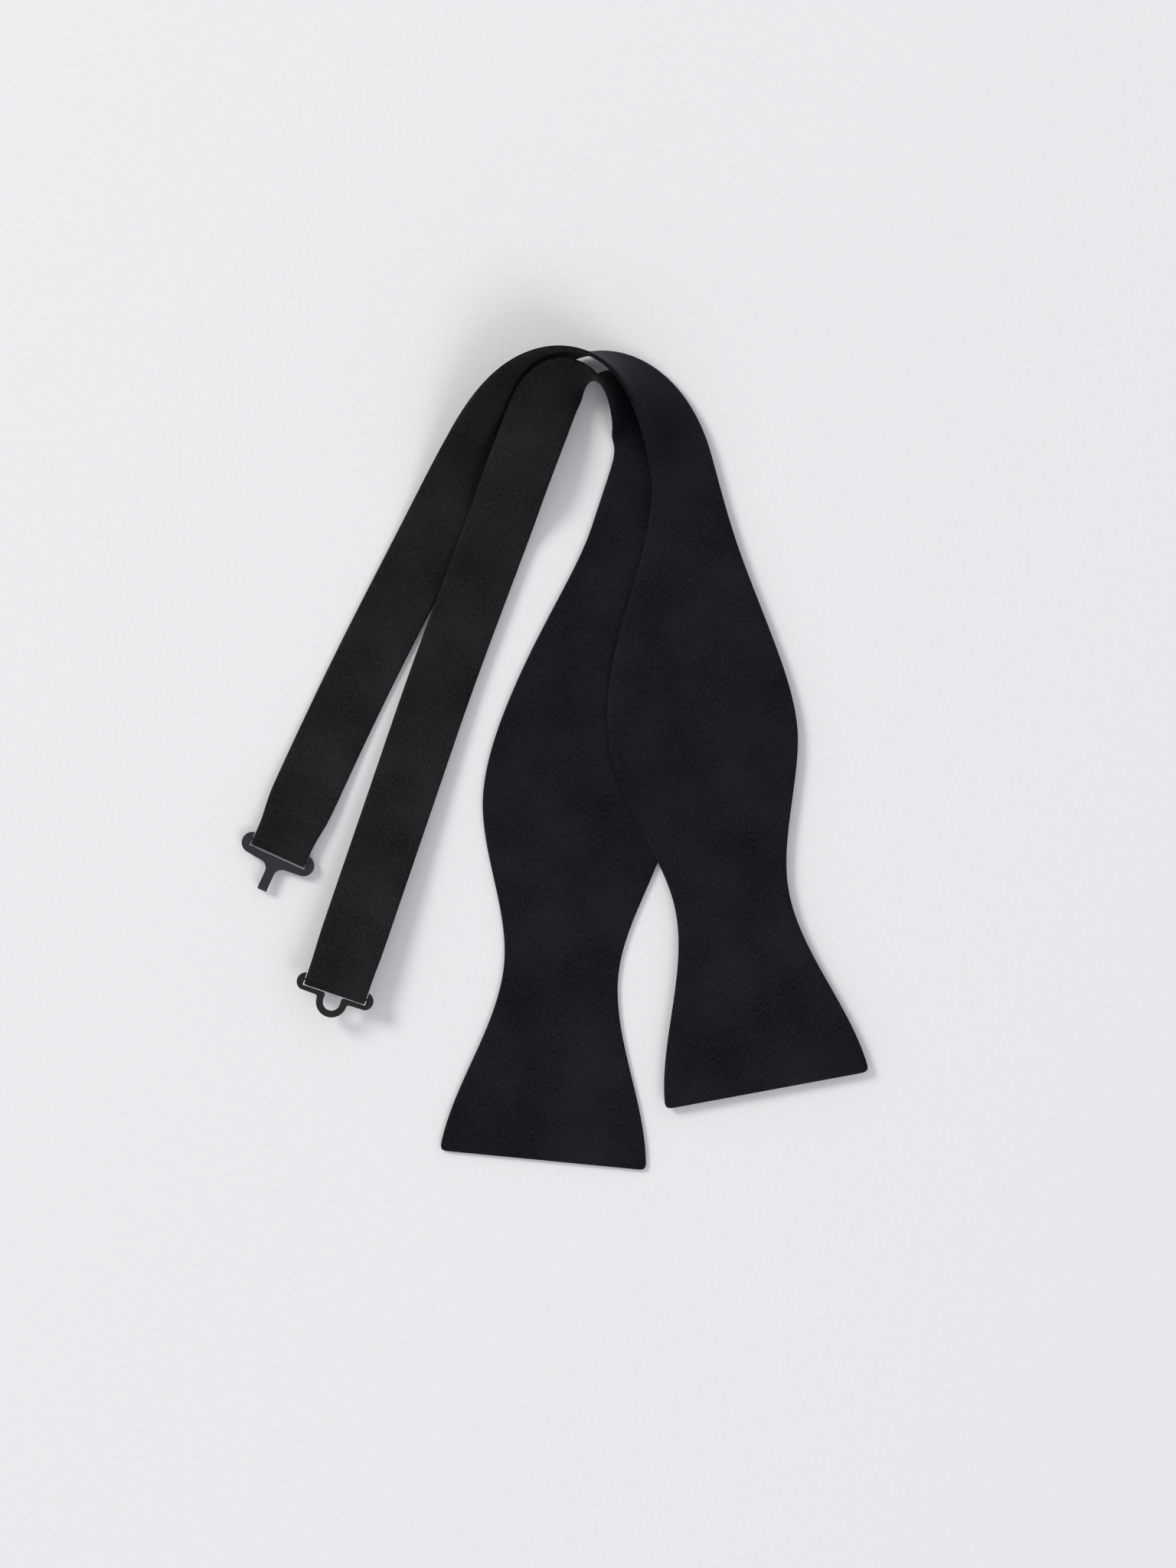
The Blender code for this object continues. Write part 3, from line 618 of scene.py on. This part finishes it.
inside = {}
for half in (HOOK_HALF, EYE_HALF):
    name = half["name"]
    rows_in = np.arange(half["strap"] + SEAM_ALLOWANCE, half["end"] - SEAM_LINE, CANVAS_STEP)
    edge = outline_half(half["end"] - rows_in) - SEAM_LINE
    foot = np.linspace(END_HALF - SEAM_LINE, SEAM_LINE - END_HALF, 30)
    run = np.vstack([place(half, rows_in, edge, 0.0),
                     place(half, half["end"] - SEAM_LINE, foot[1:-1], 0.0),
                     place(half, rows_in[::-1], -edge[::-1], 0.0)])
    across = np.linspace(-1, 1, 9) * (BAND_HALF - SEAM_ALLOWANCE)
    edge_seam = seam_thread(name + "_edge_seam", [run])
    neck_seam = seam_thread(name + "_neck_seam", [place(half, half["strap"], across, 0.0)])
    wide_canvas, canvas_area = blade_canvas(half)
    strip = strap_canvas(half)
    inside[name] = (wide_canvas, canvas_area, strip)
    for piece, node, slot_name in ((edge_seam, "edge_seam_thread", "sewing_thread"),
                                   (neck_seam, "neck_seam_thread", "sewing_thread"),
                                   (wide_canvas, "blade_canvas", "interlining"),
                                   (strip, "strap_canvas", "interlining")):
        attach(piece, name)
        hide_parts(f"{name}_{node}")
    print(name, "canvas area, square metres:", round(canvas_area, 5))

# %% [markdown]
# ## What each cloth piece was cut from
# A panel's flat cut is the pattern itself. A strap is two plies of the same width, and its length
# is the run to the clasp, the half circle round the bar and the turned-back leg. The cell below
# only reads back each half's canvas pieces and their area, and does nothing more with them.

# %% Canvas pieces read back
for half in (HOOK_HALF, EYE_HALF):
    name = half["name"]
    wide_canvas, canvas_area, strip = inside[name]

# %% [markdown]
# ## Table, light and camera
# The tie lies on a plain pale table. One large soft light stands off to the upper left, low enough
# to graze the standing edges of the fold, and a weaker one fills from the other side. The camera
# looks straight down.

# %% Table
TABLE_SIZE = 6.0
bpy.ops.mesh.primitive_plane_add(size=TABLE_SIZE, location=(0, 0, -0.00012))
table = bpy.context.object
table.name = "table"
table.data.materials.append(speckled("matt_white_laminate", "e6e6e8", "e9e9ea", 1.5, 0.02,
                                      {"Roughness": 0.75, "IOR": 1.5, "Specular IOR Level": 0.2}))

# %% Light
SKY_LOW, SKY_HIGH = 0.86, 0.46    # a pale room, darker overhead behind the camera
world = bpy.data.worlds.new("studio")
bpy.context.scene.world = world
world.use_nodes = True
sky = world.node_tree
direction = add_node(sky, "ShaderNodeTexCoord")
split = add_node(sky, "ShaderNodeSeparateXYZ", Vector=direction.outputs["Generated"])
level = add_node(sky, "ShaderNodeMapRange", {"To Min": SKY_LOW, "To Max": SKY_HIGH},
                 Value=split.outputs["Z"])
sky.nodes["Background"].inputs["Color"].default_value = linear("f6f7fc")
sky.links.new(level.outputs[0], sky.nodes["Background"].inputs["Strength"])


def soft_light(name, spot, size, power, tint):
    lamp = bpy.data.lights.new(name, "AREA")
    lamp.shape, lamp.size, lamp.energy, lamp.color = "DISK", size, power, linear(tint)[:3]
    obj = bpy.data.objects.new(name, lamp)
    obj.location = spot
    obj.rotation_euler = Vector(spot).to_track_quat("Z", "Y").to_euler()
    bpy.context.scene.collection.objects.link(obj)


soft_light("window", (-3.2, 2.4, 3.0), 1.8, 140.0, "fffdf8")
soft_light("fill", (2.0, -3.4, 3.6), 3.0, 70.0, "fbfbff")
bpy.context.scene.view_settings.view_transform = "Standard"
bpy.context.scene.view_settings.look = "None"

# %% Camera
CAMERA_HEIGHT = 1.25
camera = bpy.data.objects.new("camera", bpy.data.cameras.new("camera"))
camera.location = (0.0114, -0.0081, CAMERA_HEIGHT)
camera.data.sensor_fit = "VERTICAL"
camera.data.sensor_height = 36.0
camera.data.lens = 82.0
bpy.context.scene.collection.objects.link(camera)
bpy.context.scene.camera = camera
